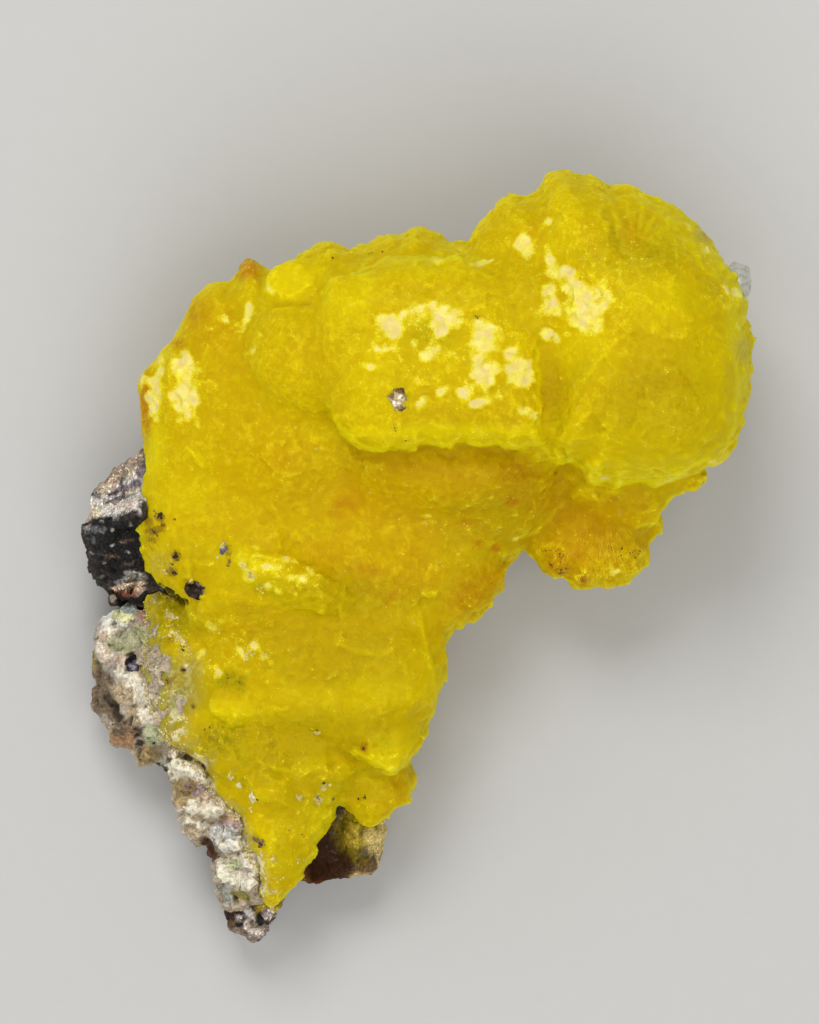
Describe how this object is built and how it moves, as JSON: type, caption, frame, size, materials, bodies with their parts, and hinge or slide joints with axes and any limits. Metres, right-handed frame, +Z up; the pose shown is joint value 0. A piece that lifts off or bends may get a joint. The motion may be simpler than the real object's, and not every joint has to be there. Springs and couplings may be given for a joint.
{
  "type": "brucite specimen",
  "caption": "Lumpy lemon-yellow brucite crust grown on a dark serpentine rock with a chalky pale rim, lying on its flat broken back.",
  "frame": {"origin": "on the surface it rests on, under the middle of the specimen", "axes": "+Z up out of the crust's front, +Y along the long way from the rocky tip to the big globe's end, +X towards the big globe"},
  "size_m": [0.0558, 0.0642, 0.0291],
  "materials": {
    "brucite": "waxy, translucent lemon yellow",
    "serpentine": "rough dark stone, mauve and rusty in places",
    "chalk": "rough, chalky cream white",
    "clear_crystal": "glossy, pale and clear"
  },
  "bodies": {
    "root": {"brucite_crust": "brucite", "matrix_rock": "serpentine", "pale_crust": "chalk", "clear_knob": "clear_crystal", "rock_chip_1": "serpentine", "rock_chip_2": "serpentine", "rock_chip_3": "serpentine", "rock_chip_4": "serpentine"}
  },
  "joints": []
}
